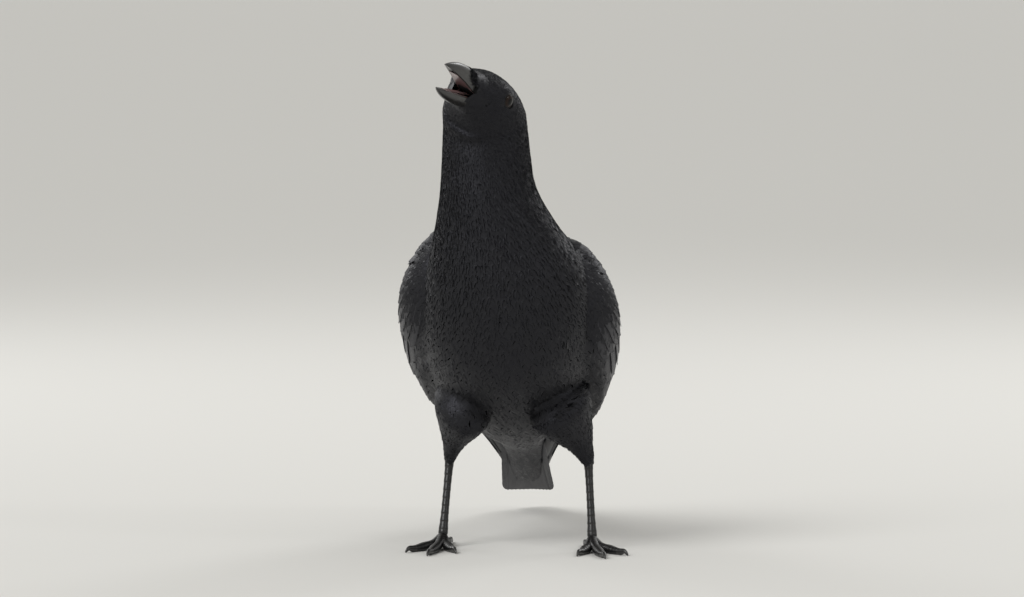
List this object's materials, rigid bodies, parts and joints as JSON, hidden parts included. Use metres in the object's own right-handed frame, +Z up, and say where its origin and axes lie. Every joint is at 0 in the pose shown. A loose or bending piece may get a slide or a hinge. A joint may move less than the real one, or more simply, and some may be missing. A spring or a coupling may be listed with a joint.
{
  "type": "crow model",
  "caption": "Life-size still model of a standing black crow, head raised and turned with the bill open, folded wings and closed tail.",
  "frame": {"origin": "middle of the model's footprint box, at floor level under the feet", "axes": "+Z up, -Y the way the bird's body faces, +X to the bird's left"},
  "size_m": [0.1638, 0.3846, 0.3499],
  "materials": {
    "plumage": "black feather vanes with a soft sheen",
    "horn": "satin black horn, bill and claws",
    "leg_scutes": "black scaled leg skin",
    "mouth": "moist grey-pink mouth lining",
    "eye": "polished glass eye, very dark brown"
  },
  "bodies": {
    "root": {"head": "plumage", "neck": "plumage", "trunk": "plumage", "tail": "plumage", "wing_left_coverts": "plumage", "wing_left_secondaries": "plumage", "wing_left_primaries": "plumage", "wing_right_coverts": "plumage", "wing_right_secondaries": "plumage", "wing_right_primaries": "plumage", "thigh_left": "plumage", "thigh_right": "plumage", "bill_upper": "horn", "bill_lower": "horn", "tongue": "mouth", "eye_left": "eye", "eye_right": "eye", "tarsus_left": "leg_scutes", "tarsus_right": "leg_scutes", "foot_left": "leg_scutes", "foot_right": "leg_scutes", "claw_left_hind": "horn", "claw_left_inner": "horn", "claw_left_middle": "horn", "claw_left_outer": "horn", "claw_right_hind": "horn", "claw_right_inner": "horn", "claw_right_middle": "horn", "claw_right_outer": "horn"}
  },
  "joints": []
}
